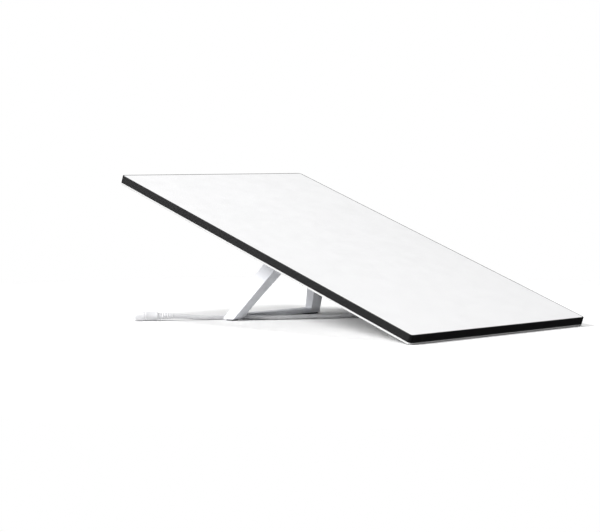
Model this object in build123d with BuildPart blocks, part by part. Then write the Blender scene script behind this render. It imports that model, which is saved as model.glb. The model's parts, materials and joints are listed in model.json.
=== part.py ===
from build123d import *
import os
from math import cos, pi, radians, sin, sqrt, tan

# Flat panel satellite antenna that leans on a stand folded out of its back.
# X runs across the panel, +Y towards its raised end, and Z = 0 is the floor.
# "Depth" is the distance below the white face, "up" the distance from the
# panel's middle towards its raised end, along the slope.

os.makedirs("parts", exist_ok=True)

# --- driving dimensions, in millimetres and degrees ---
panel_width = 383.0
panel_length = 594.0
panel_corner = 5.0
lean = 19.83

# Depths of the layers below the white face
cover_bottom = 2.2
ledge_bottom = 3.7
foam_bottom = 5.6
board_top = 6.0
board_bottom = 7.6
chip_bottom = 8.5
pad_bottom = 9.0
spreader_bottom = 10.5
frame_bottom = 10.8
lip_bottom = 13.4
panel_depth = 39.7

# Edge frame: how far each part of its section reaches in from the outside
rim_width = 2.0
ledge_width = 6.0
frame_wall = 3.0
flange_width = 8.0
flange_top = 8.8

# Rear housing
plateau_width = 213.0
plateau_length = 424.0
plateau_corner = 14.0
plateau_round = 30.0
lip_round = 1.0
cavity_width = 366.0
cavity_length = 577.0
cavity_floor_width = 212.0
cavity_floor_length = 423.0
cavity_bottom = 37.2
recess_floor = 16.0
recess_wall = 2.2
mouth_round = 1.0
seal_inset = 4.0
seal_width = 2.0
seal_depth = 1.2

# Stand and its hinge
hinge_up = 78.1
hinge_depth = 28.0
knuckle_radius = 11.4
knuckle_inner = 26.0
knuckle_outer = 51.5
knuckle_length = 19.5
foot_front = 143.4
foot_back = 160.0
foot_outer = 95.9
foot_inner = 76.3
foot_bar_top = 10.0
leg_draft = 7.2
leg_round = 1.0
foot_pad_thickness = 2.0
strip_gap = 4.5
cable_notch_x = -65.5
cable_notch_width = 19.0
cable_notch_turn = 25.0
cable_notch_top = 7.9
pin_radius = 4.0
bush_radius = 6.0
pad_middle_x = 86.4
pad_width = 14.0
pad_length = 13.6
running_gap = 0.06
fixed_gap = 0.02
side_gap = 0.6
bracket_thickness = 7.0
button_travel = 3.0

# Screws: radii of the shanks, their holes and heads, and the bosses they enter
screw_head = 2.4
mount_shank = 1.5
mount_hole = 1.52
mount_boss = 4.0
mount_boss_top = 11.2
mount_hole_end = 11.8
mount_shank_end = 12.0
board_hole = 1.27
modem_shank = 1.2
modem_boss = 3.5
modem_boss_top = 21.6

# Cable port: a tunnel along X through the housing's sloping flank
port_up = -102.0
port_depth = 28.0
port_bore = 9.2
port_wall = 2.2
port_inner_x = 100.0

# Cable
cable_radius = 3.5
cable_rest = 3.55
coil_centre = (283.0, 50.0)
coil_inner = 30.3
coil_outer = 79.8
coil_low = 0.9
coil_high = 43.3
coil_top_turn = 39.7
coil_winding_radius = 76.2
tie_angles = (30, 210)
plug_radius = 8.2
far_plug_radius = 7.0
far_boot_length = 22.0
far_plug_length = 34.0

# Antenna patches: a grid of round copper patches
patch_pitch = 44.0
patch_radius = 7.5

# --- the panel's tilted frame ---
slope_cos = cos(radians(lean))
slope_sin = sin(radians(lean))
panel_run = panel_length * slope_cos + lip_bottom * slope_sin
face_middle = Vector(
    0,
    (panel_length * slope_cos - panel_run) / 2,
    lip_bottom * slope_cos + panel_length / 2 * slope_sin,
)
face = Plane(origin=face_middle, x_dir=(1, 0, 0), z_dir=(0, -slope_sin, slope_cos))
face_axis = Axis(face_middle, face.z_dir)


def level(depth):
    """Plane parallel to the white face, at a depth below it."""
    return face.offset(-depth)


def side_plane(up, depth):
    """Plane across X through a point of the panel: its own x runs up the slope."""
    return Plane(
        origin=face.from_local_coords((0, up, -depth)),
        x_dir=(0, slope_cos, slope_sin),
        z_dir=(1, 0, 0),
    )


def slab(width, length, corner, top, bottom, mode=Mode.ADD):
    """Rounded plate centred on the panel, between two depths."""
    with BuildSketch(level(bottom)) as outline:
        RectangleRounded(width, length, corner)
    extrude(outline.sketch, amount=bottom - top, mode=mode)


def tapered_slab(top_size, bottom_size, top, bottom, mode=Mode.ADD):
    """Plate that narrows from one rounded rectangle to another."""
    with BuildSketch(level(top)) as wide:
        RectangleRounded(*top_size)
    with BuildSketch(level(bottom)) as narrow:
        RectangleRounded(*bottom_size)
    loft([wide.sketch.face(), narrow.sketch.face()], mode=mode)


def posts(places, radius, top, bottom, mode=Mode.ADD):
    """Round posts or holes square to the face, at (x, up) places."""
    with BuildSketch(level(bottom)) as rounds:
        with Locations(*places):
            Circle(radius)
    extrude(rounds.sketch, amount=bottom - top, mode=mode)


def edges_at(builder, depth):
    """Edges that lie in the plane at a depth below the face."""
    return builder.edges().filter_by(
        lambda edge: all(
            abs(face.to_local_coords(edge @ along).Z + depth) < 0.05
            for along in (0, 0.5, 1)
        )
    )


def grid(columns, rows, column_step, row_step, middle=(0, 0)):
    """(x, up) places of a regular grid about its middle."""
    return [
        (
            middle[0] + (column - (columns - 1) / 2) * column_step,
            middle[1] + (row - (rows - 1) / 2) * row_step,
        )
        for column in range(columns)
        for row in range(rows)
    ]


hinge_side = side_plane(hinge_up, hinge_depth)
hinge_y = hinge_side.origin.Y
hinge_z = hinge_side.origin.Z
pad_middle_y = (foot_front + foot_back) / 2
cable_notch = Plane(
    origin=(cable_notch_x, pad_middle_y, 0),
    x_dir=(cos(radians(cable_notch_turn)), sin(radians(cable_notch_turn)), 0),
    z_dir=(sin(radians(cable_notch_turn)), -cos(radians(cable_notch_turn)), 0),
)
port_side = side_plane(port_up, port_depth)

bracket_inner = knuckle_outer + side_gap
bracket_outer = bracket_inner + bracket_thickness
block_half = knuckle_inner - side_gap
block_bottom = hinge_depth + 8.5
block_screw_places = [(0, hinge_up - 9.6), (0, hinge_up + 9.6)]
bracket_screw_places = [
    (side * (bracket_inner + bracket_outer) / 2, hinge_up + along)
    for side in (-1, 1)
    for along in (-11.6, 11.6)
]
bracket_flange = hinge_depth - 7.0
spreader_screw_places = grid(4, 5, 104, 132, (0, 0))
modem_middle = (-5.0, -162.0)
modem_screw_places = grid(2, 2, 164, 60, modem_middle)
chip_places = grid(6, 10, 56, 54)
vent_place = (-60.0, 150.0)

# --- front cover: the white radome sheet, set inside the frame's rim ---
with BuildPart() as front_cover:
    slab(
        panel_width - 2 * rim_width,
        panel_length - 2 * rim_width,
        panel_corner - rim_width,
        0,
        cover_bottom,
    )
front_cover.part.label = "front_cover"
export_step(front_cover.part, "parts/front_cover.step")

# --- edge frame: rim round the cover, ledge under it, side wall and flange ---
with BuildPart() as edge_frame:
    slab(panel_width, panel_length, panel_corner, 0, frame_bottom)
    steps = (
        (rim_width, 0, cover_bottom),
        (ledge_width, cover_bottom, ledge_bottom),
        (frame_wall, ledge_bottom, flange_top),
        (flange_width, flange_top, frame_bottom),
    )
    for reach, top, bottom in steps:
        slab(
            panel_width - 2 * reach,
            panel_length - 2 * reach,
            max(panel_corner - reach, 1.5),
            top,
            bottom,
            mode=Mode.SUBTRACT,
        )
    fillet(edge_frame.edges().group_by(face_axis)[-1], 0.35)
edge_frame.part.label = "edge_frame"
export_step(edge_frame.part, "parts/edge_frame.step")

# --- perimeter seal, in a groove round the housing's lip ---
with BuildPart() as perimeter_seal:
    slab(
        panel_width - 2 * seal_inset,
        panel_length - 2 * seal_inset,
        3,
        frame_bottom,
        frame_bottom + seal_depth,
    )
    slab(
        panel_width - 2 * (seal_inset + seal_width),
        panel_length - 2 * (seal_inset + seal_width),
        1.5,
        frame_bottom,
        frame_bottom + seal_depth,
        mode=Mode.SUBTRACT,
    )
perimeter_seal.part.label = "perimeter_seal"
export_step(perimeter_seal.part, "parts/perimeter_seal.step")

# --- rear housing ---
with BuildPart() as housing_envelope:
    slab(panel_width, panel_length, panel_corner, frame_bottom, lip_bottom)
    tapered_slab(
        (panel_width, panel_length, panel_corner),
        (plateau_width, plateau_length, plateau_corner),
        lip_bottom,
        panel_depth,
    )
    fillet(edges_at(housing_envelope, panel_depth), plateau_round)
    fillet(edges_at(housing_envelope, lip_bottom), lip_round)

with BuildPart() as port_tube:
    with BuildSketch(port_side.offset(port_inner_x - 4)):
        Circle(port_bore + port_wall)
    extrude(amount=panel_width / 2)
    add(housing_envelope.part, mode=Mode.INTERSECT)


def recess_outline(wall=0):
    """Outline of the pocket for the folded stand, with its finger notch."""
    hinge_end = hinge_up + 15.2
    half = [(61, hinge_end), (61, 60), (100.5, -56), (100.5, -63)]
    with BuildLine() as border:
        Polyline(half + [(-x, up) for x, up in reversed(half)], close=True)
    make_face(border.edges())
    with Locations((0, -63)):
        Circle(20)
    if wall:
        offset(amount=wall)


with BuildPart() as rear_housing:
    add(housing_envelope.part)
    slab(cavity_width, cavity_length, 4, frame_bottom, lip_bottom, mode=Mode.SUBTRACT)
    tapered_slab(
        (cavity_width, cavity_length, 4),
        (cavity_floor_width, cavity_floor_length, 12),
        lip_bottom,
        cavity_bottom,
        mode=Mode.SUBTRACT,
    )
    # pocket for the folded stand
    with BuildSketch(level(panel_depth)):
        recess_outline(recess_wall)
    extrude(amount=panel_depth - recess_floor + recess_wall)
    with BuildSketch(level(panel_depth)):
        recess_outline()
    extrude(amount=panel_depth - recess_floor, mode=Mode.SUBTRACT)
    mouth = edges_at(rear_housing, panel_depth)
    fillet(mouth.filter_by(lambda edge: abs(edge.center().X) < 101), mouth_round)
    # screw bosses on the pocket's floor and for the modem board
    posts(block_screw_places + bracket_screw_places, mount_boss, mount_boss_top, recess_floor - 1)
    posts(
        block_screw_places + bracket_screw_places,
        mount_hole,
        mount_hole_end,
        recess_floor,
        Mode.SUBTRACT,
    )
    posts(modem_screw_places, modem_boss, modem_boss_top, cavity_bottom + 1)
    posts(modem_screw_places, 1.22, modem_boss_top, 30.4, Mode.SUBTRACT)
    # cable port
    add(port_tube.part)
    with BuildSketch(port_side.offset(port_inner_x)):
        Circle(port_bore)
    extrude(amount=panel_width / 2, mode=Mode.SUBTRACT)
    with BuildSketch(port_side.offset(port_inner_x - 5)):
        Circle(7)
    extrude(amount=6, mode=Mode.SUBTRACT)
    # pressure vent
    posts([vent_place], 4, cavity_bottom - 1, panel_depth, Mode.SUBTRACT)
    # seal groove
    with BuildSketch(level(frame_bottom + seal_depth)):
        RectangleRounded(panel_width - 2 * seal_inset, panel_length - 2 * seal_inset, 3)
        RectangleRounded(
            panel_width - 2 * (seal_inset + seal_width),
            panel_length - 2 * (seal_inset + seal_width),
            1.5,
            mode=Mode.SUBTRACT,
        )
    extrude(amount=seal_depth, mode=Mode.SUBTRACT)
rear_housing.part.label = "rear_housing"
export_step(rear_housing.part, "parts/rear_housing.step")

# --- foam core between the cover and the antenna board ---
with BuildPart() as foam_core:
    slab(
        panel_width - 2 * ledge_width - 1,
        panel_length - 2 * ledge_width - 1,
        2,
        cover_bottom,
        foam_bottom,
    )
foam_core.part.label = "foam_core"
export_step(foam_core.part, "parts/foam_core.step")

# --- radiating discs on the front of the antenna board ---
with BuildPart() as patch_elements:
    posts(grid(8, 13, patch_pitch, patch_pitch), patch_radius, board_top - 0.3, board_top)
patch_elements.part.label = "patch_elements"
export_step(patch_elements.part, "parts/patch_elements.step")

# --- antenna board ---
with BuildPart() as antenna_board:
    slab(panel_width - 11, panel_length - 11, 2, board_top, board_bottom)
    posts(spreader_screw_places, board_hole, board_top, board_bottom, Mode.SUBTRACT)
antenna_board.part.label = "antenna_board"
export_step(antenna_board.part, "parts/antenna_board.step")

# --- beamformer chips and the thermal pads on them ---
with BuildPart() as beamformer_chips:
    with BuildSketch(level(chip_bottom)):
        with Locations(*chip_places):
            Rectangle(9, 9)
    extrude(amount=chip_bottom - board_bottom)
beamformer_chips.part.label = "beamformer_chips"
export_step(beamformer_chips.part, "parts/beamformer_chips.step")

with BuildPart() as thermal_pads:
    with BuildSketch(level(pad_bottom)):
        with Locations(*chip_places):
            Rectangle(8, 8)
    extrude(amount=pad_bottom - chip_bottom)
thermal_pads.part.label = "thermal_pads"
export_step(thermal_pads.part, "parts/thermal_pads.step")

# --- heat spreader, with a window for the link between the boards ---
with BuildPart() as heat_spreader:
    slab(panel_width - 18, panel_length - 18, 2, pad_bottom, spreader_bottom)
    posts(spreader_screw_places, board_hole, pad_bottom, spreader_bottom, Mode.SUBTRACT)
    with BuildSketch(level(spreader_bottom)):
        with Locations((0, -176)):
            Rectangle(36, 10)
    extrude(amount=spreader_bottom - pad_bottom, mode=Mode.SUBTRACT)
heat_spreader.part.label = "heat_spreader"
export_step(heat_spreader.part, "parts/heat_spreader.step")

with BuildPart() as spreader_screws:
    posts(spreader_screw_places, screw_head, spreader_bottom, spreader_bottom + 1.6)
    posts(spreader_screw_places, 1.25, board_top + 0.2, spreader_bottom)
spreader_screws.part.label = "spreader_screws"
export_step(spreader_screws.part, "parts/spreader_screws.step")

# --- modem board in the deep part of the housing ---
modem_top = 20.0
modem_bottom = 21.6
with BuildPart() as modem_board:
    with BuildSketch(level(modem_bottom)):
        with Locations(modem_middle):
            RectangleRounded(178, 74, 3)
    extrude(amount=modem_bottom - modem_top)
    posts(modem_screw_places, board_hole, modem_top, modem_bottom, Mode.SUBTRACT)
modem_board.part.label = "modem_board"
export_step(modem_board.part, "parts/modem_board.step")

with BuildPart() as modem_screws:
    posts(modem_screw_places, screw_head, modem_top - 1.6, modem_top)
    posts(modem_screw_places, modem_shank, modem_top, modem_top + 9)
modem_screws.part.label = "modem_screws"
export_step(modem_screws.part, "parts/modem_screws.step")

with BuildPart() as shield_cans:
    with BuildSketch(level(modem_bottom + 4)):
        with Locations((-50, -162), (0, -162), (46, -162)):
            RectangleRounded(36, 44, 2)
    extrude(amount=4)
shield_cans.part.label = "shield_cans"
export_step(shield_cans.part, "parts/shield_cans.step")

with BuildPart() as navigation_antenna:
    with BuildSketch(level(modem_top)):
        with Locations((-56, -158)):
            Rectangle(25, 25)
    extrude(amount=4)
navigation_antenna.part.label = "navigation_antenna"
export_step(navigation_antenna.part, "parts/navigation_antenna.step")

with BuildPart() as board_link:
    with BuildSketch(level(modem_top)):
        with Locations((0, -176)):
            Rectangle(30, 6)
    extrude(amount=modem_top - board_bottom)
board_link.part.label = "board_link"
export_step(board_link.part, "parts/board_link.step")

# --- cable socket and its seal, at the inner end of the port ---
with BuildPart() as cable_socket:
    with BuildSketch(port_side.offset(port_inner_x - 16)):
        Circle(6.9)
    extrude(amount=16)
    with BuildSketch(port_side.offset(port_inner_x)):
        Circle(6)
    extrude(amount=6)
    with BuildSketch(port_side.offset(port_inner_x + 6)):
        Circle(4)
    extrude(amount=-4, mode=Mode.SUBTRACT)
cable_socket.part.label = "cable_socket"
export_step(cable_socket.part, "parts/cable_socket.step")

with BuildPart() as socket_seal:
    with BuildSketch(port_side.offset(port_inner_x)):
        Circle(8.8)
        Circle(6.3, mode=Mode.SUBTRACT)
    extrude(amount=1.6)
socket_seal.part.label = "socket_seal"
export_step(socket_seal.part, "parts/socket_seal.step")

# --- breather vent: a flush plug with a head inside the housing ---
with BuildPart() as breather_vent:
    posts([vent_place], 3.95, cavity_bottom - 1, panel_depth - 0.4)
    posts([vent_place], 6, cavity_bottom - 2.4, cavity_bottom - 0.05)
    posts(
        [(vent_place[0] + along, vent_place[1]) for along in (-1.8, 0, 1.8)],
        0.5,
        cavity_bottom - 2.4,
        panel_depth,
        Mode.SUBTRACT,
    )
breather_vent.part.label = "breather_vent"
export_step(breather_vent.part, "parts/breather_vent.step")

# --- hinge block between the legs: holds both pins and the two buttons ---
slot_outer = block_half - 4.3
slot_inner = slot_outer - 15.3
slot_middle = (slot_inner + slot_outer) / 2
slot_length = 14.6
slot_top = block_bottom - 3.3
tip_depth = block_bottom - 1.6
tip_height = hinge_depth - tip_depth

with BuildPart() as hinge_block:
    with BuildSketch(hinge_side.offset(-block_half)):
        with Locations((0, (hinge_depth - block_bottom + hinge_depth - recess_floor) / 2)):
            RectangleRounded(26, block_bottom - recess_floor, 1.5)
    extrude(amount=2 * block_half)
    for side in (-1, 1):
        with BuildSketch(hinge_side.offset(side * block_half)):
            Circle(pin_radius + fixed_gap)
        extrude(amount=-side * 10, mode=Mode.SUBTRACT)
        with BuildSketch(level(block_bottom)):
            with Locations((side * slot_middle, hinge_up)):
                Rectangle(slot_outer - slot_inner, slot_length)
        extrude(amount=block_bottom - slot_top, mode=Mode.SUBTRACT)
        with BuildSketch(hinge_side.offset(side * slot_outer)):
            with Locations((0, tip_height)):
                Circle(1.5)
        extrude(amount=side * 5, mode=Mode.SUBTRACT)
    posts(block_screw_places, mount_hole, recess_floor, block_bottom, Mode.SUBTRACT)
hinge_block.part.label = "hinge_block"
export_step(hinge_block.part, "parts/hinge_block.step")

# --- cover plate over the buttons, with a window for each ---
ridge_width = 6.0
ridge_length = 11.0
plate_width = 10.0
plate_outer = slot_outer - 0.3
ridge_middle = plate_outer - plate_width / 2
window_middle = ridge_middle - button_travel / 2
cover_plate_bottom = block_bottom + 1.0

with BuildPart() as button_cover:
    with BuildSketch(level(cover_plate_bottom)):
        with Locations((0, hinge_up)):
            RectangleRounded(2 * block_half - 1, 25, 1.5)
        with Locations(*[(side * window_middle, hinge_up) for side in (-1, 1)]):
            Rectangle(
                ridge_width + button_travel + 0.8,
                ridge_length + 0.8,
                mode=Mode.SUBTRACT,
            )
    extrude(amount=cover_plate_bottom - block_bottom)
    posts(block_screw_places, mount_hole, block_bottom, cover_plate_bottom, Mode.SUBTRACT)
button_cover.part.label = "button_cover"
export_step(button_cover.part, "parts/button_cover.step")

# --- screws of the hinge block and of the two brackets ---
with BuildPart() as hinge_screws:
    posts(block_screw_places, screw_head, cover_plate_bottom, cover_plate_bottom + 1.8)
    posts(block_screw_places, mount_shank, mount_shank_end, cover_plate_bottom)
    posts(bracket_screw_places, screw_head, bracket_flange, bracket_flange + 1.8)
    posts(bracket_screw_places, mount_shank, mount_shank_end, bracket_flange)
hinge_screws.part.label = "hinge_screws"
export_step(hinge_screws.part, "parts/hinge_screws.step")

# --- one set of hinge pieces and one sprung button on each side ---
for name, side in (("left", -1), ("right", 1)):
    with BuildPart() as hinge_bracket:
        with BuildSketch(hinge_side.offset(side * bracket_inner)):
            with BuildLine():
                Line((-9, hinge_depth - recess_floor), (9, hinge_depth - recess_floor))
                CenterArc((0, 0), 9, 0, 360)
            make_hull()
            with Locations((0, (7 + hinge_depth - recess_floor) / 2)):
                Rectangle(29.2, hinge_depth - recess_floor - 7)
            Circle(pin_radius + fixed_gap, mode=Mode.SUBTRACT)
        extrude(amount=side * bracket_thickness)
        posts(bracket_screw_places, mount_hole, recess_floor, bracket_flange, Mode.SUBTRACT)
    hinge_bracket.part.label = f"hinge_bracket_{name}"
    export_step(hinge_bracket.part, f"parts/hinge_bracket_{name}.step")

    with BuildPart() as hinge_pin:
        with BuildSketch(hinge_side.offset(side * (block_half - 9.8))):
            Circle(pin_radius)
        extrude(amount=side * (bracket_outer - 0.4 - block_half + 9.8))
        chamfer(hinge_pin.edges().filter_by(GeomType.CIRCLE), 0.5)
    hinge_pin.part.label = f"hinge_pin_{name}"
    export_step(hinge_pin.part, f"parts/hinge_pin_{name}.step")

    with BuildPart() as hinge_bush:
        with BuildSketch(hinge_side.offset(side * knuckle_inner)):
            Circle(bush_radius)
            Circle(pin_radius + running_gap, mode=Mode.SUBTRACT)
        extrude(amount=side * (knuckle_outer - knuckle_inner))
    hinge_bush.part.label = f"hinge_bush_{name}"
    export_step(hinge_bush.part, f"parts/hinge_bush_{name}.step")

    # sliding plate with a finger ridge outside and a locking tip at its outer end
    with BuildPart() as release_button:
        with BuildSketch(level(block_bottom - 0.3)):
            with Locations((side * ridge_middle, hinge_up)):
                Rectangle(plate_width, slot_length - 0.6)
        extrude(amount=block_bottom - 0.6 - slot_top)
        with BuildSketch(level(panel_depth - 0.5)):
            with Locations((side * ridge_middle, hinge_up)):
                RectangleRounded(ridge_width, ridge_length, 1)
        extrude(amount=panel_depth - 0.5 - block_bottom + 0.3)
        fillet(release_button.faces().sort_by(face_axis)[0].edges(), 0.6)
        with BuildSketch(hinge_side.offset(side * plate_outer)):
            with Locations((0, tip_height)):
                Circle(1.2)
        extrude(amount=side * (block_half - 0.3 - plate_outer))
    release_button.part.label = f"release_button_{name}"
    export_step(release_button.part, f"parts/release_button_{name}.step")

    spring_inner = slot_inner + 0.4
    spring_length = plate_outer - plate_width - 0.4 - spring_inner
    spring_start = hinge_side.offset(side * spring_inner).from_local_coords((0, tip_height, 0))
    with BuildPart() as button_spring:
        with BuildLine():
            turns = Helix(
                pitch=spring_length / 4,
                height=spring_length,
                radius=0.95,
                center=spring_start,
                direction=(side, 0, 0),
            )
        with BuildSketch(Plane(origin=turns @ 0, z_dir=turns % 0)):
            Circle(0.2)
        sweep(path=turns, is_frenet=True)
    button_spring.part.label = f"button_spring_{name}"
    export_step(button_spring.part, f"parts/button_spring_{name}.step")

    with BuildPart() as foot_pad:
        with BuildSketch(Plane.XY):
            with Locations((side * pad_middle_x, pad_middle_y)):
                RectangleRounded(pad_width, pad_length, 2)
        extrude(amount=foot_pad_thickness)
    foot_pad.part.label = f"foot_pad_{name}"
    export_step(foot_pad.part, f"parts/foot_pad_{name}.step")

# rubber strip under the foot bar, from the cable notch to the far pad
with BuildPart() as foot_strip:
    strip_start = cable_notch_x + cable_notch_width / 2 + strip_gap
    strip_end = pad_middle_x - pad_width / 2 - 0.6
    with BuildSketch(Plane.XY):
        with Locations(((strip_start + strip_end) / 2, pad_middle_y)):
            RectangleRounded(strip_end - strip_start, pad_length, 1)
    extrude(amount=foot_pad_thickness)
foot_strip.part.label = "foot_strip"
export_step(foot_strip.part, "parts/foot_strip.step")

# --- the stand: a tapered side profile, cut to a U in the stand's own plane ---
foot_middle = Vector(0, (foot_front + foot_back) / 2, foot_pad_thickness)
hinge_middle = Vector(0, hinge_y, hinge_z)
down_leg = foot_middle - hinge_middle
leg_length = down_leg.length
stand_side = Plane(
    origin=hinge_middle,
    x_dir=(1, 0, 0),
    z_dir=Vector(1, 0, 0).cross(down_leg),
)
leg_reach = 40.0
outer_slope = (foot_outer - knuckle_outer) / (leg_length - knuckle_length)
inner_slope = (foot_inner - knuckle_inner) / (leg_length - knuckle_length)


def mirrored(half):
    """Closed outline from its +X half, top first."""
    with BuildLine() as border:
        Polyline(half + [(-x, along) for x, along in reversed(half)], close=True)
    make_face(border.edges())


with BuildPart() as stand_wedge:
    narrowing = leg_reach * tan(radians(leg_draft))
    foot_narrowing = narrowing * sqrt(1 + outer_slope**2)
    with BuildSketch(stand_side.offset(-leg_reach)):
        mirrored(
            [
                (knuckle_outer - narrowing, -leg_reach),
                (knuckle_outer - narrowing, knuckle_length),
                (
                    foot_outer + outer_slope * leg_reach - foot_narrowing,
                    leg_length + leg_reach,
                ),
            ]
        )
    extrude(amount=2 * leg_reach, taper=-leg_draft)
    # the knuckles stay flat between the brackets, and the legs flare from there
    with BuildSketch(stand_side):
        mirrored(
            [
                (knuckle_outer, -leg_reach),
                (knuckle_outer, knuckle_length),
                (knuckle_outer + leg_length, knuckle_length + leg_length),
            ]
        )
    extrude(amount=leg_reach, both=True, mode=Mode.INTERSECT)

with BuildPart() as stand_window:
    with BuildSketch(stand_side):
        mirrored(
            [
                (knuckle_inner, -leg_reach),
                (knuckle_inner, knuckle_length),
                (foot_inner + inner_slope * leg_reach, leg_length + leg_reach),
            ]
        )
    extrude(amount=leg_reach, both=True)
    split(bisect_by=Plane(origin=(0, 0, foot_bar_top)), keep=Keep.TOP)

with BuildPart() as kickstand_frame:
    with BuildSketch(Plane.YZ.offset(-panel_width / 2)):
        with BuildLine():
            Line((foot_front, foot_pad_thickness), (foot_back, foot_pad_thickness))
            CenterArc((hinge_y, hinge_z), knuckle_radius, 0, 360)
        make_hull()
    extrude(amount=panel_width)
    add(stand_wedge.part, mode=Mode.INTERSECT)
    add(stand_window.part, mode=Mode.SUBTRACT)
    with BuildSketch(cable_notch):
        with Locations((0, cable_notch_top / 2 - 2)):
            RectangleRounded(cable_notch_width, cable_notch_top + 4, 1.9)
    extrude(amount=leg_reach, both=True, mode=Mode.SUBTRACT)
    for side in (-1, 1):
        with BuildSketch(hinge_side.offset(side * (knuckle_inner - 1))):
            Circle(bush_radius + fixed_gap)
        extrude(amount=side * (knuckle_outer - knuckle_inner + 2), mode=Mode.SUBTRACT)
    straight = kickstand_frame.edges().filter_by(GeomType.LINE)
    fillet(straight.filter_by(lambda edge: edge.length > 12), leg_round)
kickstand_frame.part.label = "kickstand_frame"
export_step(kickstand_frame.part, "parts/kickstand_frame.step")


# --- cable ---
def corner_radii(points):
    """As large an arc at each corner as its two runs allow."""
    radii = []
    for before, at, after in zip(points, points[1:], points[2:]):
        run_in = Vector(*at) - Vector(*before)
        run_out = Vector(*after) - Vector(*at)
        turn = radians(run_in.get_angle(run_out))
        radii.append(0.45 * min(run_in.length, run_out.length) / tan(turn / 2))
    return radii


def print_route(name, radii, path, part):
    """Tightest arc, length, and the tube's volume against section times length."""
    ideal = pi * cable_radius**2 * path.length
    print(
        f"{name}: length {path.length:.1f}, tightest arc {min(radii):.0f},"
        f" volume {part.volume:.0f} of {ideal:.0f}"
    )
    print("  radii:", [round(radius) for radius in radii])


def on_coil(angle, height):
    """Point on the coil's outer winding, at an angle from +X."""
    return (
        coil_centre[0] + coil_winding_radius * cos(radians(angle)),
        coil_centre[1] + coil_winding_radius * sin(radians(angle)),
        height,
    )


boot_start = port_inner_x + 40
cable_exit = port_side.offset(boot_start + 28).origin

# plug: a cup that goes over the socket, a body and two grip rings
with BuildPart() as antenna_plug:
    with BuildSketch(port_side.offset(port_inner_x + 2)):
        Circle(plug_radius)
    extrude(amount=boot_start - port_inner_x - 2)
    with BuildSketch(port_side.offset(port_inner_x + 2)):
        Circle(6.5)
    extrude(amount=5, mode=Mode.SUBTRACT)
    for along in (22, 27, 32):
        with BuildSketch(port_side.offset(port_inner_x + along)):
            Circle(plug_radius)
            Circle(plug_radius - 0.8, mode=Mode.SUBTRACT)
        extrude(amount=2, mode=Mode.SUBTRACT)
antenna_plug.part.label = "antenna_plug"
export_step(antenna_plug.part, "parts/antenna_plug.step")

with BuildPart() as antenna_boot:
    with BuildSketch(port_side.offset(boot_start)):
        Circle(6)
    with BuildSketch(port_side.offset(boot_start + 28)):
        Circle(cable_radius + 0.5)
    loft()
antenna_boot.part.label = "antenna_boot"
export_step(antenna_boot.part, "parts/antenna_boot.step")

lead_route = [
    (cable_exit.X, cable_exit.Y, cable_exit.Z),
    (194, -89.2, 51),
    (220, -86.5, 42),
    (243, -79, 27),
    (264, -68, 12),
    (289, -53, 3.6),
    (313, -27, cable_rest),
    on_coil(-45, cable_rest),
]
lead_radii = corner_radii(lead_route)
with BuildPart() as cable_lead:
    with BuildLine():
        lead_path = FilletPolyline(*lead_route, radius=lead_radii)
    with BuildSketch(Plane(origin=lead_path @ 0, z_dir=lead_path % 0)):
        Circle(cable_radius)
    sweep(path=lead_path)
print_route("cable_lead", lead_radii, lead_path, cable_lead.part)
cable_lead.part.label = "cable_lead"
export_step(cable_lead.part, "parts/cable_lead.step")

with BuildPart() as cable_coil:
    with BuildSketch(Plane(origin=(*coil_centre, 0), x_dir=(1, 0, 0), z_dir=(0, -1, 0))):
        with Locations(((coil_inner + coil_outer) / 2, (coil_low + coil_high) / 2)):
            RectangleRounded(coil_outer - coil_inner, coil_high - coil_low, 3)
    revolve(axis=Axis((*coil_centre, 0), (0, 0, 1)))
cable_coil.part.label = "cable_coil"
export_step(cable_coil.part, "parts/cable_coil.step")

tie_width = 16.0
tie_thickness = 0.8
with BuildPart() as coil_ties:
    for angle in tie_angles:
        outward = (cos(radians(angle)), sin(radians(angle)), 0)
        section = Plane(
            origin=(*coil_centre, 0),
            x_dir=outward,
            z_dir=(outward[1], -outward[0], 0),
        )
        inside = (coil_inner - 1.2, coil_outer + 0.1, coil_low - 0.05, coil_high + 0.1)
        middle = ((inside[0] + inside[1]) / 2, (inside[2] + inside[3]) / 2)
        width = inside[1] - inside[0]
        height = inside[3] - inside[2]
        with BuildSketch(section.offset(-tie_width / 2)):
            with Locations(middle):
                RectangleRounded(width + 2 * tie_thickness, height + 2 * tie_thickness, 2.5)
                RectangleRounded(width, height, 1.8, mode=Mode.SUBTRACT)
        extrude(amount=tie_width)
coil_ties.part.label = "coil_ties"
export_step(coil_ties.part, "parts/coil_ties.step")

run_route = [
    on_coil(114, coil_top_turn),
    (229, 108, 35),
    (205, 95.5, 21),
    (179, 82, 8),
    (152, 69, 3.6),
    (122, 57, cable_rest),
    (92, 49.5, cable_rest),
    (65, 53, cable_rest),
    (42, 66, cable_rest),
    (18, 81, cable_rest),
    (-4, 94.5, cable_rest),
    (-26, 107.5, cable_rest),
    (-45, 120, cable_rest),
    (-57, 134, cable_rest),
    (-64.5, 150, cable_rest),
    (-74, 164, cable_rest),
    (-87, 173, cable_rest),
    (-101, 178, cable_rest),
    (-114, 184.5, 3.6),
    (-126, 192.5, 4.6),
    (-138.5, 201.5, 6.6),
    (-151, 211.4, 7.05),
]
run_radii = corner_radii(run_route)
with BuildPart() as cable_run:
    with BuildLine():
        run_path = FilletPolyline(*run_route, radius=run_radii)
    with BuildSketch(Plane(origin=run_path @ 0, z_dir=run_path % 0)):
        Circle(cable_radius)
    sweep(path=run_path)
print_route("cable_run", run_radii, run_path, cable_run.part)
cable_run.part.label = "cable_run"
export_step(cable_run.part, "parts/cable_run.step")

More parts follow.
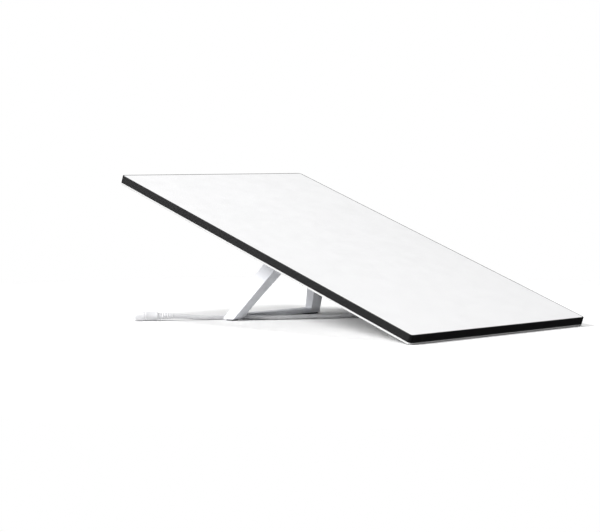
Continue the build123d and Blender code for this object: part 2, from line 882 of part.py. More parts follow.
# far end: boot and plug lie level on the floor, in line with the cable's end
far_direction = Vector(-0.784, 0.621, 0)
far_start = Plane(origin=run_route[-1], z_dir=far_direction)
with BuildPart() as far_boot:
    with BuildSketch(far_start):
        Circle(cable_radius + 0.5)
    with BuildSketch(far_start.offset(far_boot_length)):
        Circle(5.5)
    loft()
far_boot.part.label = "far_boot"
export_step(far_boot.part, "parts/far_boot.step")

with BuildPart() as far_plug:
    with BuildSketch(far_start.offset(far_boot_length)):
        Circle(far_plug_radius)
    extrude(amount=far_plug_length)
    with BuildSketch(far_start.offset(far_boot_length + far_plug_length)):
        Circle(5.2)
    extrude(amount=-9, mode=Mode.SUBTRACT)
    for along in (27, 32, 37):
        with BuildSketch(far_start.offset(along)):
            Circle(far_plug_radius)
            Circle(far_plug_radius - 0.7, mode=Mode.SUBTRACT)
        extrude(amount=2, mode=Mode.SUBTRACT)
far_plug.part.label = "far_plug"
export_step(far_plug.part, "parts/far_plug.step")
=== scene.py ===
import json
from math import cos, pi, radians, sin

import bmesh
import bpy
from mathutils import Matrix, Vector


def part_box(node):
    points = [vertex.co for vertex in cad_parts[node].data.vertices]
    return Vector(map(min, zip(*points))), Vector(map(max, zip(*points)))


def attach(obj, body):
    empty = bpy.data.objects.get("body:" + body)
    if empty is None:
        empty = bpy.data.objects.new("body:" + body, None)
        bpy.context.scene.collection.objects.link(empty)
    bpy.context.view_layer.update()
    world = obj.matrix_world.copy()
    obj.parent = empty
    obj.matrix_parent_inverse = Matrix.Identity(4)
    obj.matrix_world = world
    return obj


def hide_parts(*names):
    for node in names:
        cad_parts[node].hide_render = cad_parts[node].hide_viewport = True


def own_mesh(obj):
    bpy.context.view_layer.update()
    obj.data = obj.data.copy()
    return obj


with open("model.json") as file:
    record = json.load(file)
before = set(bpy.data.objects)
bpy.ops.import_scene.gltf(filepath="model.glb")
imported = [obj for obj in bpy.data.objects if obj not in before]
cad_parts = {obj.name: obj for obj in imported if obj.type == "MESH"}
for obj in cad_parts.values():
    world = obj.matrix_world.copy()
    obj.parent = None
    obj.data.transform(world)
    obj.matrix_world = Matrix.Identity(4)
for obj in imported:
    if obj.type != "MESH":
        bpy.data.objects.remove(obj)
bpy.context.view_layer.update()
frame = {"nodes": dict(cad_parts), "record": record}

# Flat panel satellite antenna on its folding stand. All lengths are in metres.
MM = 0.001
LEAN = radians(19.83)
OUT_OF_BACK = Vector((0, sin(LEAN), -cos(LEAN)))
CABLE_END = next(m for m in frame["record"]["mounts"] if m["name"] == "cable_end")


# ---------------------------------------------------------------- materials
# Most of a noise texture's values lie between these two.
NOISE_LOW, NOISE_HIGH = 0.3, 0.7
# Sockets of a Mix node that is set to colours; their names repeat, so they go by number.
MIX_SHARE, MIX_FIRST, MIX_SECOND, MIX_RESULT = 0, 6, 7, 2


class Nodes:
    """A material's node tree, with short ways to add and join nodes."""

    def __init__(self, name):
        self.material = bpy.data.materials.new(name)
        self.material.use_nodes = True
        self.tree = self.material.node_tree
        self.shader = self.tree.nodes["Principled BSDF"]
        self.coords = self.add("ShaderNodeTexCoord").outputs["Object"]

    def add(self, kind, **values):
        """A new node, with its properties or the constants on its sockets set."""
        node = self.tree.nodes.new(kind)
        for key, value in values.items():
            if hasattr(node, key):
                setattr(node, key, value)
            else:
                node.inputs[key.replace("_", " ")].default_value = value
        return node

    def join(self, output, node, socket):
        self.tree.links.new(output, node.inputs[socket])

    def noise(self, scale, detail=3.0, roughness=0.55, stretch=(1, 1, 1)):
        """Noise of that many grains a metre, stretched along an axis if wanted."""
        mapping = self.add("ShaderNodeMapping", Scale=stretch)
        self.join(self.coords, mapping, "Vector")
        noise = self.add("ShaderNodeTexNoise", Scale=scale, Detail=detail, Roughness=roughness)
        self.join(mapping.outputs["Vector"], noise, "Vector")
        return noise.outputs["Fac"]

    def spread(self, value, low, high):
        """A noise value spread to run from low to high."""
        spread = self.add("ShaderNodeMapRange", clamp=True)
        limits = {"From Min": NOISE_LOW, "From Max": NOISE_HIGH, "To Min": low, "To Max": high}
        for socket, number in limits.items():
            spread.inputs[socket].default_value = number
        self.join(value, spread, "Value")
        return spread.outputs["Result"]

    def colours(self, value, first, second):
        """Colour that runs from first to second with a value."""
        mix = self.add("ShaderNodeMix", data_type="RGBA")
        mix.inputs[MIX_FIRST].default_value = (*first, 1)
        mix.inputs[MIX_SECOND].default_value = (*second, 1)
        self.join(value, mix, MIX_SHARE)
        return mix.outputs[MIX_RESULT]

    def bump(self, height, distance, strength=1.0, under=None):
        """Normal of a bump of that height, laid over another bump if one is given."""
        bump = self.add("ShaderNodeBump", Strength=strength, Distance=distance)
        self.join(height, bump, "Height")
        if under:
            self.join(under, bump, "Normal")
        return bump.outputs["Normal"]

    def set(self, **values):
        """Constants on the shader's own sockets."""
        for key, value in values.items():
            self.shader.inputs[key.replace("_", " ")].default_value = value


def shaded(colour, share):
    """A colour with each of its parts multiplied by a share."""
    return tuple(part * share for part in colour)


def moulded(name, colour, shift, roughness, grain, depth, specular=0.5, patch=9.0):
    """Moulded or coated surface: a fine even grain, with slight drifts of colour and gloss.

    The colour drifts darker by shift, in patches of that many a metre. The grain has that many
    bumps a metre, and depth is their height.
    """
    gloss_shift = 0.05
    gloss_marks_per_patch = 14
    nodes = Nodes(name)
    dark = shaded(colour, 1 - shift)
    drift = nodes.noise(patch, detail=2.0)
    nodes.join(nodes.colours(nodes.spread(drift, 0, 1), dark, colour), nodes.shader, "Base Color")
    gloss = nodes.noise(patch * gloss_marks_per_patch, detail=4.0)
    rough = nodes.spread(gloss, roughness - gloss_shift, roughness + gloss_shift)
    nodes.join(rough, nodes.shader, "Roughness")
    nodes.join(nodes.bump(nodes.noise(grain, detail=2.0), depth), nodes.shader, "Normal")
    nodes.set(Specular_IOR_Level=specular)
    return nodes.material


def metal(name, colour, roughness, brushed=(1, 1, 1)):
    """Bare metal with fine marks along its brushing."""
    marks_per_metre = 900
    mark_depth = 0.02 * MM
    darkest = 0.82
    smoother, rougher = 0.08, 0.1
    nodes = Nodes(name)
    marks = nodes.noise(marks_per_metre, detail=5.0, stretch=brushed)
    tone = nodes.colours(nodes.spread(marks, 0, 1), shaded(colour, darkest), colour)
    nodes.join(tone, nodes.shader, "Base Color")
    rough = nodes.spread(marks, roughness - smoother, roughness + rougher)
    nodes.join(rough, nodes.shader, "Roughness")
    nodes.join(nodes.bump(marks, mark_depth), nodes.shader, "Normal")
    nodes.set(Metallic=1.0)
    return nodes.material


def webbing(name, colour):
    """Hook-and-loop strap: a woven ground with a short fuzz of loops."""
    threads_per_metre, thread_depth = 1400.0, 0.08 * MM
    loops_per_metre, loop_depth = 5200, 0.15 * MM
    lightest = 2.2
    nodes = Nodes(name)
    weave = nodes.add("ShaderNodeTexChecker", Scale=threads_per_metre)
    nodes.join(nodes.coords, weave, "Vector")
    fuzz = nodes.noise(loops_per_metre, detail=4.0)
    ground = nodes.bump(weave.outputs["Fac"], thread_depth, 0.6)
    nodes.join(nodes.bump(fuzz, loop_depth, 0.9, under=ground), nodes.shader, "Normal")
    tone = nodes.colours(nodes.spread(fuzz, 0, 1), colour, shaded(colour, lightest))
    nodes.join(tone, nodes.shader, "Base Color")
    nodes.set(Roughness=0.95, Specular_IOR_Level=0.2, Sheen_Weight=0.4, Sheen_Roughness=0.5)
    return nodes.material


def circuit(name, mask, track):
    """Solder mask over copper: a grid of short tracks that shows through."""
    track_depth = 0.04 * MM
    gloss_marks_per_metre = 60
    smoothest, roughest = 0.28, 0.4
    nodes = Nodes(name)
    tracks = nodes.add(
        "ShaderNodeTexBrick", Scale=90.0, Mortar_Size=0.03, Brick_Width=0.9, Row_Height=0.3
    )
    nodes.join(nodes.coords, tracks, "Vector")
    nodes.join(nodes.colours(tracks.outputs["Fac"], mask, track), nodes.shader, "Base Color")
    nodes.join(nodes.bump(tracks.outputs["Fac"], track_depth), nodes.shader, "Normal")
    gloss = nodes.noise(gloss_marks_per_metre)
    nodes.join(nodes.spread(gloss, smoothest, roughest), nodes.shader, "Roughness")
    return nodes.material


def foam(name, colour):
    """Closed-cell foam: round cells of mixed size."""
    cells_per_metre, cell_depth = 1300.0, 0.2 * MM
    darkest = 0.75
    nodes = Nodes(name)
    cells = nodes.add("ShaderNodeTexVoronoi", Scale=cells_per_metre)
    nodes.join(nodes.coords, cells, "Vector")
    tone = nodes.colours(cells.outputs["Distance"], shaded(colour, darkest), colour)
    nodes.join(tone, nodes.shader, "Base Color")
    nodes.join(nodes.bump(cells.outputs["Distance"], cell_depth), nodes.shader, "Normal")
    nodes.set(Roughness=0.9)
    return nodes.material


RADOME = moulded("radome_white", (0.83, 0.83, 0.835), 0.012, 0.42, 2600, 0.01 * MM, patch=3.0)
CHARCOAL = moulded("frame_charcoal", (0.008, 0.008, 0.009), 0.6, 0.46, 900, 0.25 * MM, 0.45, patch=420.0)
SHELL = moulded("housing_white", (0.6, 0.6, 0.6), 0.03, 0.5, 1500, 0.04 * MM)
STAND = moulded("stand_white", (0.74, 0.75, 0.785), 0.04, 0.4, 1100, 0.04 * MM)
BUTTON = moulded("button_grey", (0.42, 0.43, 0.46), 0.06, 0.42, 1800, 0.03 * MM)
BUSH = moulded("bush_grey", (0.36, 0.36, 0.38), 0.05, 0.4, 1800, 0.02 * MM)
VENT = moulded("vent_grey", (0.55, 0.55, 0.57), 0.05, 0.5, 1800, 0.03 * MM)
JACKET = moulded("cable_jacket", (0.8, 0.8, 0.815), 0.03, 0.4, 1200, 0.03 * MM, patch=40.0)
PLUG = moulded("plug_white", (0.76, 0.76, 0.775), 0.04, 0.38, 1600, 0.03 * MM, patch=50.0)
# Black rubber for the seals and foot pads. On foot_strip the same black is a painted shadow: it stands
# in for the shade in the gap under the stand's foot bar.
RUBBER_AND_SHADOW_STRIP = moulded("rubber_black", (0.03, 0.03, 0.032), 0.3, 0.75, 1400, 0.08 * MM, 0.3, patch=60.0)
CHIP = moulded("chip_black", (0.028, 0.028, 0.03), 0.2, 0.5, 2200, 0.04 * MM, patch=80.0)
PAD = moulded("thermal_grey", (0.4, 0.42, 0.5), 0.08, 0.7, 1500, 0.05 * MM)
CERAMIC = moulded("ceramic", (0.72, 0.62, 0.46), 0.08, 0.35, 1500, 0.03 * MM)
ALUMINIUM = metal("aluminium", (0.74, 0.74, 0.76), 0.34, (1, 0.06, 1))
STEEL = metal("screw_steel", (0.6, 0.6, 0.62), 0.28)
TIN = metal("can_tin", (0.66, 0.66, 0.67), 0.3, (1, 0.1, 1))
COPPER = metal("copper", (0.78, 0.42, 0.26), 0.3)
STRAP = webbing("strap_black", (0.022, 0.022, 0.024))
BOARD = circuit("board_green", (0.02, 0.13, 0.05), (0.05, 0.22, 0.09))
FOAM = foam("foam_white", (0.8, 0.8, 0.78))

CAD_LOOKS = {
    RADOME: ["front_cover"],
    CHARCOAL: ["edge_frame"],
    SHELL: ["rear_housing"],
    STAND: ["kickstand_frame", "button_cover"],
    BUTTON: ["release_button_left", "release_button_right"],
    BUSH: ["hinge_bush_left", "hinge_bush_right"],
    VENT: ["breather_vent"],
    # foot_strip is a black strip laid where there is only the shadow of the gap under the foot bar:
    # painted shadow, not a real part.
    RUBBER_AND_SHADOW_STRIP: ["perimeter_seal", "socket_seal", "foot_pad_left", "foot_pad_right", "foot_strip"],
    CHIP: ["beamformer_chips", "board_link", "cable_socket"],
    PAD: ["thermal_pads"],
    CERAMIC: ["navigation_antenna"],
    ALUMINIUM: ["heat_spreader", "hinge_block", "hinge_bracket_left", "hinge_bracket_right"],
    STEEL: ["spreader_screws", "modem_screws", "hinge_pin_left", "hinge_pin_right"],
    TIN: ["shield_cans"],
    COPPER: ["patch_elements"],
    BOARD: ["antenna_board", "modem_board"],
    FOAM: ["foam_core"],
}
for look, names in CAD_LOOKS.items():
    for name in names:
        node = frame["nodes"][name]
        node.data.materials.clear()
        node.data.materials.append(look)


# ---------------------------------------------------------------- mesh helpers
SHARP_ANGLE = radians(35)


def piece(name, vertices, faces, look, slot, body="antenna"):
    """A new smooth-shaded mesh, with its material, that rides on a body. The slot is not used."""
    mesh = bpy.data.meshes.new(name)
    mesh.from_pydata([tuple(v) for v in vertices], [], faces)
    solid = bmesh.new()
    solid.from_mesh(mesh)
    bmesh.ops.recalc_face_normals(solid, faces=solid.faces)
    solid.to_mesh(mesh)
    solid.free()
    mesh.shade_smooth()
    mesh.set_sharp_from_angle(angle=SHARP_ANGLE)
    made = bpy.data.objects.new(name, mesh)
    bpy.context.scene.collection.objects.link(made)
    made.data.materials.append(look)
    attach(made, body)
    return made


def dip(angle):
    """Smooth wave from 0 at no angle to 1 at half a turn, and back."""
    return 0.5 - 0.5 * cos(angle)


def lathe(profile, start, axis, segments, ribs=0, rib_depth=0.0):
    """Vertices and faces of a closed turned solid. The profile is (along, radius, ribbed)."""
    axis = Vector(axis).normalized()
    side = axis.orthogonal().normalized()
    other = axis.cross(side)
    vertices = []
    for along, radius, ribbed in profile:
        for step in range(segments):
            angle = 2 * pi * step / segments
            cut = rib_depth * dip(ribs * angle) if ribbed else 0
            spoke = side * cos(angle) + other * sin(angle)
            vertices.append(Vector(start) + axis * along + spoke * (radius - cut))
    return vertices, ring_faces(len(profile), segments)


def ring_faces(rings, segments):
    """Faces of a closed turned solid: a skin through its rings and a cap at each end."""
    faces = []
    for ring in range(rings - 1):
        first = ring * segments
        for step in range(segments):
            here, after = first + step, first + (step + 1) % segments
            faces.append((here, after, after + segments, here + segments))
    faces.append(tuple(range(segments)))
    faces.append(tuple(range((rings - 1) * segments, rings * segments)))
    return faces


def merged(solids):
    """One list of vertices and one of faces, made of several solids."""
    vertices, faces = [], []
    for more_vertices, more_faces in solids:
        first = len(vertices)
        vertices += more_vertices
        faces += [tuple(first + corner for corner in face) for face in more_faces]
    return vertices, faces


def boot_profile(length, thick, thin, ridges):
    """Tapered strain relief with round ridges, thick end first."""
    steps_per_ridge = 8
    groove_share = 0.16
    profile = []
    steps = ridges * steps_per_ridge
    for step in range(steps + 1):
        share = step / steps
        radius = thick + (thin - thick) * share
        groove = groove_share * radius * dip(2 * pi * ridges * share)
        profile.append((length * share, radius - groove, False))
    return profile


def plug_profile(length, radius, socket_radius, socket_depth):
    """Round plug: bevelled nose with a socket, smooth collar, ribbed grip, bevelled tail."""
    edge = 0.7 * MM
    socket_edge = edge * 0.6
    pin_hole = 0.4 * MM
    collar_end, groove_start = 0.40 * length, 0.41 * length
    groove_end, collar_restart = 0.46 * length, 0.47 * length
    grip_start, grip_end = 0.5 * length, 0.93 * length
    return [
        (socket_depth, pin_hole, False),
        (socket_depth, socket_radius, False),
        (socket_edge, socket_radius, False),
        (0, socket_radius + socket_edge, False),
        (0, radius - edge, False),
        (edge, radius, False),
        (collar_end, radius, False),
        (groove_start, radius - edge, False),
        (groove_end, radius - edge, False),
        (collar_restart, radius, False),
        (grip_start, radius, False),
        (grip_start + edge, radius, True),
        (grip_end - edge, radius, True),
        (grip_end, radius, False),
        (length - edge, radius, False),
        (length, radius - edge, False),
        (length, pin_hole, False),
    ]


# ---------------------------------------------------------------- hinge screws
SCREW_HEAD = 2.4 * MM
SCREW_SHANK = 1.5 * MM
SCREW_SEGMENTS = 48
HEAD_HEIGHT = 1.8 * MM
HEAD_EDGE = 0.3 * MM
HEX_HALF = 1.1 * MM
HEX_DEPTH = 1.1 * MM
HEX_EDGE_DEPTH = 0.2 * MM
HEX_EDGE_WIDTH = 0.25 * MM
HEX_TIP_DEPTH = 0.3 * MM
HEX_TIP_RADIUS = 0.05 * MM
WELD = 0.001 * MM
LEVEL = 0.01 * MM


def loose_solids(solid):
    """The vertices of each loose solid in a bmesh, as lists."""
    unseen = set(solid.verts)
    solids = []
    for start in solid.verts:
        if start not in unseen:
            continue
        unseen.remove(start)
        found, waiting = [], [start]
        while waiting:
            vertex = waiting.pop()
            found.append(vertex)
            for edge in vertex.link_edges:
                neighbour = edge.other_vert(vertex)
                if neighbour in unseen:
                    unseen.remove(neighbour)
                    waiting.append(neighbour)
        solids.append(found)
    return solids


def screw_tops(name):
    """Middle of each screw's top face and the screw's length, from a node of loose screws."""
    screws = bmesh.new()
    screws.from_mesh(frame["nodes"][name].data)
    bmesh.ops.remove_doubles(screws, verts=screws.verts, dist=WELD)
    tops = []
    for screw in loose_solids(screws):
        heights = [vertex.co.dot(OUT_OF_BACK) for vertex in screw]
        highest = max(heights)
        face = [v.co for v, height in zip(screw, heights) if height > highest - LEVEL]
        tops.append((sum(face, Vector()) / len(face), highest - min(heights)))
    screws.free()
    return tops


def socket_screw(top, length):
    """Vertices and faces of a hexagon socket screw that points out of the back."""
    side = OUT_OF_BACK.orthogonal().normalized()
    other = OUT_OF_BACK.cross(side)
    # (depth below the top, radius, whether the ring is a hexagon)
    profile = (
        (HEX_DEPTH + HEX_TIP_DEPTH, HEX_TIP_RADIUS, False),
        (HEX_DEPTH, HEX_HALF, True),
        (HEX_EDGE_DEPTH, HEX_HALF, True),
        (0, HEX_HALF + HEX_EDGE_WIDTH, False),
        (0, SCREW_HEAD - HEAD_EDGE, False),
        (HEAD_EDGE / 3, SCREW_HEAD - HEAD_EDGE / 3, False),
        (HEAD_EDGE, SCREW_HEAD, False),
        (HEAD_HEIGHT, SCREW_HEAD, False),
        (HEAD_HEIGHT, SCREW_SHANK, False),
        (length - SCREW_SHANK / 2, SCREW_SHANK, False),
        (length, SCREW_SHANK / 2, False),
    )
    vertices = []
    for depth, radius, hexagon in profile:
        for step in range(SCREW_SEGMENTS):
            angle = 2 * pi * step / SCREW_SEGMENTS
            flat = cos(angle % (pi / 3) - pi / 6) if hexagon else 1
            spoke = side * cos(angle) + other * sin(angle)
            vertices.append(top - OUT_OF_BACK * depth + spoke * radius / flat)
    return vertices, ring_faces(len(profile), SCREW_SEGMENTS)


def socket_screws(name):
    """Vertices and faces of a socket screw in place of each screw of a CAD node."""
    return merged(socket_screw(top, length) for top, length in screw_tops(name))


hinge_screws = piece("socket_screws", *socket_screws("hinge_screws"), STEEL, "screw_steel")
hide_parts("hinge_screws")


# ---------------------------------------------------------------- button springs
SPRING_WIRE = 0.2 * MM
SPRING_TURNS = 4
POINTS_PER_COIL = 24
WIRE_SIDES = 8


def coil_spring(node):
    """Vertices and faces of a spring along X that fills the box of its CAD node."""
    low, high = (Vector(corner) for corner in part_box(node))
    middle = (low + high) / 2
    radius = (high.z - low.z) / 2 - SPRING_WIRE
    run = high.x - low.x - 2 * SPRING_WIRE
    steps = SPRING_TURNS * POINTS_PER_COIL
    pitch = run / (SPRING_TURNS * 2 * pi)
    vertices = []
    for step in range(steps + 1):
        angle = 2 * pi * step / POINTS_PER_COIL
        spoke = Vector((0, cos(angle), sin(angle)))
        along = Vector((pitch, -radius * sin(angle), radius * cos(angle))).normalized()
        up = along.cross(spoke)
        centre = Vector((low.x + SPRING_WIRE + run * step / steps, middle.y, middle.z))
        for turn in range(WIRE_SIDES):
            wire = 2 * pi * turn / WIRE_SIDES
            offset = (spoke * cos(wire) + up * sin(wire)) * SPRING_WIRE
            vertices.append(centre + spoke * radius + offset)
    return vertices, ring_faces(steps + 1, WIRE_SIDES)


for side, high_end in (("left", True), ("right", False)):
    node = f"button_spring_{side}"
    spring = piece(f"spring_{side}", *coil_spring(node), STEEL, "screw_steel")
    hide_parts(node)
    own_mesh(spring)


# ---------------------------------------------------------------- cable
CABLE_RADIUS = 3.5 * MM
COIL_CENTRE = (0.283, 0.050)
TRACKS = 7
LAYERS = 6
PITCH = 7.05 * MM
OUTER_TRACK = 76.2 * MM
BOTTOM_LAYER = 4.45 * MM
START_ANGLE = radians(-45)
END_ANGLE = radians(114)
POINTS_PER_TURN = 16

LEAD = [
    (0.168, -0.08873, 0.05242),
    (0.194, -0.0892, 0.051),
    (0.220, -0.0865, 0.042),
    (0.243, -0.079, 0.027),
    (0.264, -0.068, 0.012),
    (0.289, -0.053, 0.0036),
    (0.313, -0.027, 0.00355),
]
RUN = [
    (0.229, 0.108, 0.035),
    (0.205, 0.0955, 0.021),
    (0.179, 0.082, 0.008),
    (0.152, 0.069, 0.0036),
    (0.122, 0.057, 0.00355),
    (0.092, 0.0495, 0.00355),
    (0.065, 0.053, 0.00355),
    (0.042, 0.066, 0.00355),
    (0.018, 0.081, 0.00355),
    (-0.004, 0.0945, 0.00355),
    (-0.026, 0.1075, 0.00355),
    (-0.045, 0.120, 0.00355),
    (-0.057, 0.134, 0.00355),
    (-0.0645, 0.150, 0.00355),
    (-0.074, 0.164, 0.00355),
    (-0.087, 0.173, 0.00355),
    (-0.101, 0.178, 0.00355),
    (-0.114, 0.1845, 0.0036),
    (-0.126, 0.1925, 0.0046),
    (-0.1385, 0.2015, 0.0066),
    (-0.151, 0.2114, 0.00705),
]


def coil_points():
    """Layers of turns wound in, then out, each on top of the last, ending outermost."""
    pull_in = cos(pi / POINTS_PER_TURN)
    last_turns = (END_ANGLE - START_ANGLE) / (2 * pi)
    turns = TRACKS * (LAYERS - 1) + TRACKS - 1 + last_turns
    points = []
    for step in range(round(turns * POINTS_PER_TURN) + 1):
        turn = step / POINTS_PER_TURN
        layer = min(int(turn / TRACKS), LAYERS - 1)
        along = turn - layer * TRACKS
        track = min(along, TRACKS - 1)
        climb = max(along - (TRACKS - 1), 0) if layer < LAYERS - 1 else 0
        inward = track if layer % 2 == 0 else TRACKS - 1 - track
        radius = (OUTER_TRACK - PITCH * inward) / pull_in
        angle = START_ANGLE + 2 * pi * turn
        points.append(
            (
                COIL_CENTRE[0] + radius * cos(angle),
                COIL_CENTRE[1] + radius * sin(angle),
                BOTTOM_LAYER + PITCH * (layer + climb),
            )
        )
    return points


def cable_curve(points):
    """One smooth open NURBS tube through the route."""
    curve = bpy.data.curves.new("cable", "CURVE")
    curve.dimensions = "3D"
    spline = curve.splines.new("NURBS")
    spline.points.add(len(points) - 1)
    for control, point in zip(spline.points, points):
        control.co = (*point, 1)
    spline.order_u = 3
    spline.use_endpoint_u = True
    curve.resolution_u = 6
    curve.bevel_depth = CABLE_RADIUS
    curve.bevel_resolution = 4
    curve.use_fill_caps = True
    made = bpy.data.objects.new("cable", curve)
    bpy.context.scene.collection.objects.link(made)
    made.data.materials.append(JACKET)
    return made


cable = cable_curve(LEAD + coil_points() + RUN)
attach(cable, "antenna")
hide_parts("cable_lead", "cable_coil", "cable_run")


# ---------------------------------------------------------------- plugs
BOOT_SEGMENTS = 40
BOOT_THIN_END = 4 * MM
PLUG_SEGMENTS = 144
PLUG_RIBS = 24
FAR_PLUG_LENGTH = 34 * MM
FAR_BOOT_LENGTH = 22 * MM


def port_end(name, high):
    """Middle of a port piece's end face, at its low or high X."""
    low_corner, high_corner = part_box(name)
    middle = (Vector(low_corner) + Vector(high_corner)) / 2
    middle.x = high_corner[0] if high else low_corner[0]
    return middle


def boot(name, start, axis, length, thick, ridges):
    """Strain relief that thins from its plug to the cable."""
    profile = boot_profile(length, thick, BOOT_THIN_END, ridges)
    return piece(name, *lathe(profile, start, axis, BOOT_SEGMENTS), JACKET, "cable_white")


def plug(name, start, axis, profile, rib_depth):
    """Round plug with a ribbed grip."""
    turned = lathe(profile, start, axis, PLUG_SEGMENTS, PLUG_RIBS, rib_depth)
    return piece(name, *turned, PLUG, "plug_white")


boot_in = port_end("antenna_boot", False)
boot_out = port_end("antenna_boot", True)
antenna_boot = boot("strain_relief", boot_in, (1, 0, 0), boot_out.x - boot_in.x, 6 * MM, 7)
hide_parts("antenna_boot")

plug_in = port_end("antenna_plug", False)
plug_length = port_end("antenna_plug", True).x - plug_in.x
plug_shape = plug_profile(plug_length, radius=8.2 * MM, socket_radius=6.5 * MM, socket_depth=5 * MM)
antenna_plug = plug("antenna_plug_body", plug_in, (1, 0, 0), plug_shape, rib_depth=0.7 * MM)
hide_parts("antenna_plug")

far_back = -Vector(CABLE_END["axis"]).normalized()
far_nose = Vector(CABLE_END["pos_m"])
far_tail = far_nose + far_back * FAR_PLUG_LENGTH
far_shape = plug_profile(FAR_PLUG_LENGTH, radius=7 * MM, socket_radius=5.2 * MM, socket_depth=9 * MM)
far_plug = plug("far_plug_body", far_nose, far_back, far_shape, rib_depth=0.6 * MM)
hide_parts("far_plug")
far_boot = boot("far_strain_relief", far_tail, far_back, FAR_BOOT_LENGTH, 5.5 * MM, 6)
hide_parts("far_boot")


# ---------------------------------------------------------------- coil ties
TIE_ANGLES = (radians(30), radians(210))
TIE_WIDTH = 16 * MM
TIE_THICKNESS = 0.8 * MM
TIE_CORNER = 2.1 * MM
TIE_SAG = 0.35 * MM
TIE_INNER = 28.7 * MM
TIE_OUTER = 80.3 * MM
TIE_EDGE = 0.3 * MM
CORNER_STEPS = 6
STEPS_PER_DIP = 8
# the tail's ends, as shares of the strap's height, and how far its tip lifts
TAIL_FROM, TAIL_TO = 0.3, 0.72
TAIL_STEPS = 16
TAIL_TIP_LIFT = 0.75


def tie_section(width, thick):
    """Outline across a strap: (across, outward) pairs with rounded edges."""
    edge = TIE_EDGE
    shares = (0, 0.25, 0.5, 0.75, 1)
    flat = [(edge + (width - 2 * edge) * share - width / 2, thick / 2) for share in shares]
    side = [(width / 2, 0.2 * thick), (width / 2, -0.2 * thick)]
    half = flat + side
    return half + [(-across, -outward) for across, outward in half]


def tie_path(low, high):
    """Closed line round the coil's section: (radius, height, outward radius, outward height)."""
    path = []
    corners = (
        (TIE_OUTER, high, 0),
        (TIE_INNER, high, pi / 2),
        (TIE_INNER, low, pi),
        (TIE_OUTER, low, 3 * pi / 2),
    )
    for index, (radius, height, start) in enumerate(corners):
        centre_r = radius - TIE_CORNER if radius == TIE_OUTER else radius + TIE_CORNER
        centre_z = height - TIE_CORNER if height == high else height + TIE_CORNER
        for step in range(CORNER_STEPS + 1):
            angle = start + pi / 2 * step / CORNER_STEPS
            out_r, out_z = cos(angle), sin(angle)
            path.append(
                (centre_r + TIE_CORNER * out_r, centre_z + TIE_CORNER * out_z, out_r, out_z)
            )
        # the strap sags a little between the turns that it crosses
        level = index % 2 == 0
        length = TIE_OUTER - TIE_INNER if level else high - low
        span = length - 2 * TIE_CORNER
        dips = TRACKS if level else LAYERS
        base_r, base_z, out_r, out_z = path[-1]
        for step in range(1, STEPS_PER_DIP * dips):
            share = step / (STEPS_PER_DIP * dips)
            sag = TIE_SAG * dip(2 * pi * dips * share)
            path.append(
                (
                    base_r - out_z * span * share - out_r * sag,
                    base_z + out_r * span * share - out_z * sag,
                    out_r,
                    out_z,
                )
            )
    return path


def tie_band(angle, path, section, closed):
    """Vertices and faces of a strap that follows a path at one angle round the coil."""
    outward = Vector((cos(angle), sin(angle), 0))
    across = Vector((-sin(angle), cos(angle), 0))
    centre = Vector((*COIL_CENTRE, 0))
    vertices = []
    for radius, height, out_r, out_z in path:
        middle = centre + outward * radius + Vector((0, 0, height))
        normal = outward * out_r + Vector((0, 0, out_z))
        vertices += [middle + across * side + normal * lift for side, lift in section]
    count = len(section)
    rows = len(path) if closed else len(path) - 1
    faces = []
    for row in range(rows):
        here, ahead = row * count, (row + 1) % len(path) * count
        for step in range(count):
            after = (step + 1) % count
            faces.append((here + step, here + after, ahead + after, ahead + step))
    if not closed:
        faces.append(tuple(range(count)))
        faces.append(tuple(range((len(path) - 1) * count, len(path) * count)))
    return vertices, faces


def coil_straps():
    """Both ties round the coil, each with its tail pressed onto the outside."""
    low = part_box("coil_ties")[0][2] + TIE_THICKNESS / 2
    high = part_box("coil_ties")[1][2] - TIE_THICKNESS / 2
    section = tie_section(TIE_WIDTH, TIE_THICKNESS)
    loop = tie_path(low, high)
    tail = []
    for step in range(TAIL_STEPS + 1):
        share = TAIL_FROM + (TAIL_TO - TAIL_FROM) * step / TAIL_STEPS
        lift = TIE_THICKNESS * (1.0 if step < TAIL_STEPS else TAIL_TIP_LIFT)
        tail.append((TIE_OUTER + lift, low + (high - low) * share, 1, 0))
    return merged(
        tie_band(angle, path, section, closed)
        for angle in TIE_ANGLES
        for path, closed in ((loop, True), (tail, False))
    )


straps = piece("coil_straps", *coil_straps(), STRAP, "tie_black")
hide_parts("coil_ties")


# ---------------------------------------------------------------- camera
# The sensor's width and the lens are in millimetres, as Blender takes them.
SENSOR_WIDTH = 36
LENS = 115.55
CAMERA_TARGET = (0.002, 0.0983, 0.0787)
CAMERA_AZIMUTH = radians(-46.63)
CAMERA_ELEVATION = radians(3.35)
CAMERA_DISTANCE = 2.864
FARTHEST_SEEN = 60


def look_camera(target, azimuth, elevation, distance, lens):
    """Camera that looks at a target from a distance. At azimuth 0 it looks along +Y."""
    back = Vector(
        (
            sin(azimuth) * cos(elevation),
            -cos(azimuth) * cos(elevation),
            sin(elevation),
        )
    )
    data = bpy.data.cameras.new("camera")
    data.lens = lens
    data.sensor_width = SENSOR_WIDTH
    data.clip_end = FARTHEST_SEEN
    camera = bpy.data.objects.new("camera", data)
    camera.location = Vector(target) + back * distance
    camera.rotation_euler = back.to_track_quat("Z", "Y").to_euler()
    bpy.context.scene.collection.objects.link(camera)
    bpy.context.scene.camera = camera


look_camera(CAMERA_TARGET, CAMERA_AZIMUTH, CAMERA_ELEVATION, CAMERA_DISTANCE, LENS)


# ---------------------------------------------------------------- studio
FLOOR_REACH = 14
FLOOR_WHITE = (0.96, 0.96, 0.96, 1)
# distances from the middle of the floor at which it starts and stops to fade
FADE_START, FADE_END = 0.45, 1.1
ROOM_COLOUR = (0.97, 0.98, 1, 1)
ROOM_STRENGTH = 0.04
BACKDROP_WHITE = (1, 1, 1, 1)
LIGHT_AIM = Vector((0, 0, 0.1))
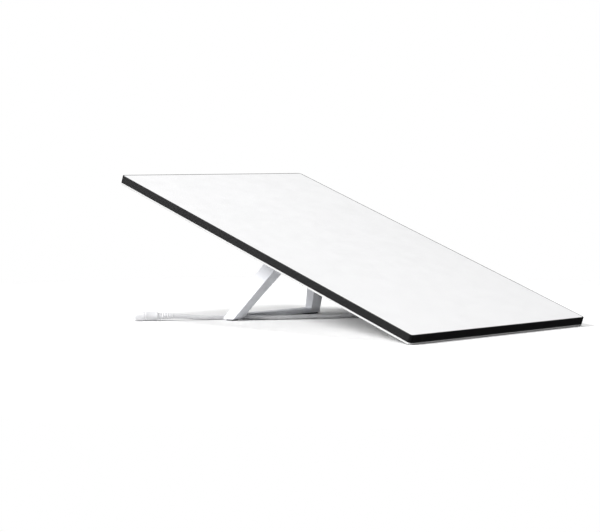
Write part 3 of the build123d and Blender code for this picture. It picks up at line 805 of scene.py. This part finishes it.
# name, place, size and power: a key light from behind on the left, a weak one low beside it,
# and a wide one overhead that lights the face evenly
LIGHTS = (
    ("key", (-4.65, 1.8, 3.3), 1.6, 405),
    ("low_left", (-2.35, 2.2, 0.45), 1.0, 5),
    ("top", (-0.3, -0.9, 5.0), 3.0, 212),
)


def floor_look():
    """White floor that gives way to the white backdrop away from the object."""
    nodes = Nodes("floor_white")
    nodes.set(Base_Color=FLOOR_WHITE, Roughness=0.9, Specular_IOR_Level=0.1)
    distance = nodes.add("ShaderNodeVectorMath", operation="LENGTH")
    nodes.join(nodes.coords, distance, "Vector")
    fade = nodes.add("ShaderNodeMapRange", interpolation_type="SMOOTHSTEP")
    fade.inputs["From Min"].default_value = FADE_START
    fade.inputs["From Max"].default_value = FADE_END
    nodes.join(distance.outputs["Value"], fade, "Value")
    clear = nodes.add("ShaderNodeBsdfTransparent")
    blend = nodes.add("ShaderNodeMixShader")
    nodes.join(fade.outputs["Result"], blend, 0)
    nodes.join(nodes.shader.outputs[0], blend, 1)
    nodes.join(clear.outputs[0], blend, 2)
    nodes.join(blend.outputs[0], nodes.tree.nodes["Material Output"], "Surface")
    return nodes.material


def lay_floor():
    """Flat square floor, left out of glossy reflections so that dark edges stay dark."""
    mesh = bpy.data.meshes.new("floor")
    corners = ((-1, -1), (1, -1), (1, 1), (-1, 1))
    mesh.from_pydata([(x * FLOOR_REACH, y * FLOOR_REACH, 0) for x, y in corners], [], [(0, 1, 2, 3)])
    floor = bpy.data.objects.new("floor", mesh)
    bpy.context.scene.collection.objects.link(floor)
    floor.data.materials.append(floor_look())
    floor.visible_glossy = False


def surround():
    """White backdrop for the camera, and a weak even room light on everything else."""
    world = bpy.data.worlds.new("studio")
    world.use_nodes = True
    tree = world.node_tree
    room = tree.nodes["Background"]
    room.inputs["Color"].default_value = ROOM_COLOUR
    room.inputs["Strength"].default_value = ROOM_STRENGTH
    backdrop = tree.nodes.new("ShaderNodeBackground")
    backdrop.inputs["Color"].default_value = BACKDROP_WHITE
    seen = tree.nodes.new("ShaderNodeLightPath")
    mix = tree.nodes.new("ShaderNodeMixShader")
    tree.links.new(seen.outputs["Is Camera Ray"], mix.inputs[0])
    tree.links.new(room.outputs[0], mix.inputs[1])
    tree.links.new(backdrop.outputs[0], mix.inputs[2])
    tree.links.new(mix.outputs[0], tree.nodes["World Output"].inputs["Surface"])
    bpy.context.scene.world = world


def hang_lights():
    """Round area lights that all point at the object."""
    for name, place, size, power in LIGHTS:
        light = bpy.data.lights.new(name, "AREA")
        light.shape = "DISK"
        light.size = size
        light.energy = power
        lamp = bpy.data.objects.new(name, light)
        lamp.location = place
        aim = Vector(place) - LIGHT_AIM
        lamp.rotation_euler = aim.to_track_quat("Z", "Y").to_euler()
        bpy.context.scene.collection.objects.link(lamp)


lay_floor()
surround()
hang_lights()
bpy.context.scene.view_settings.view_transform = "Standard"
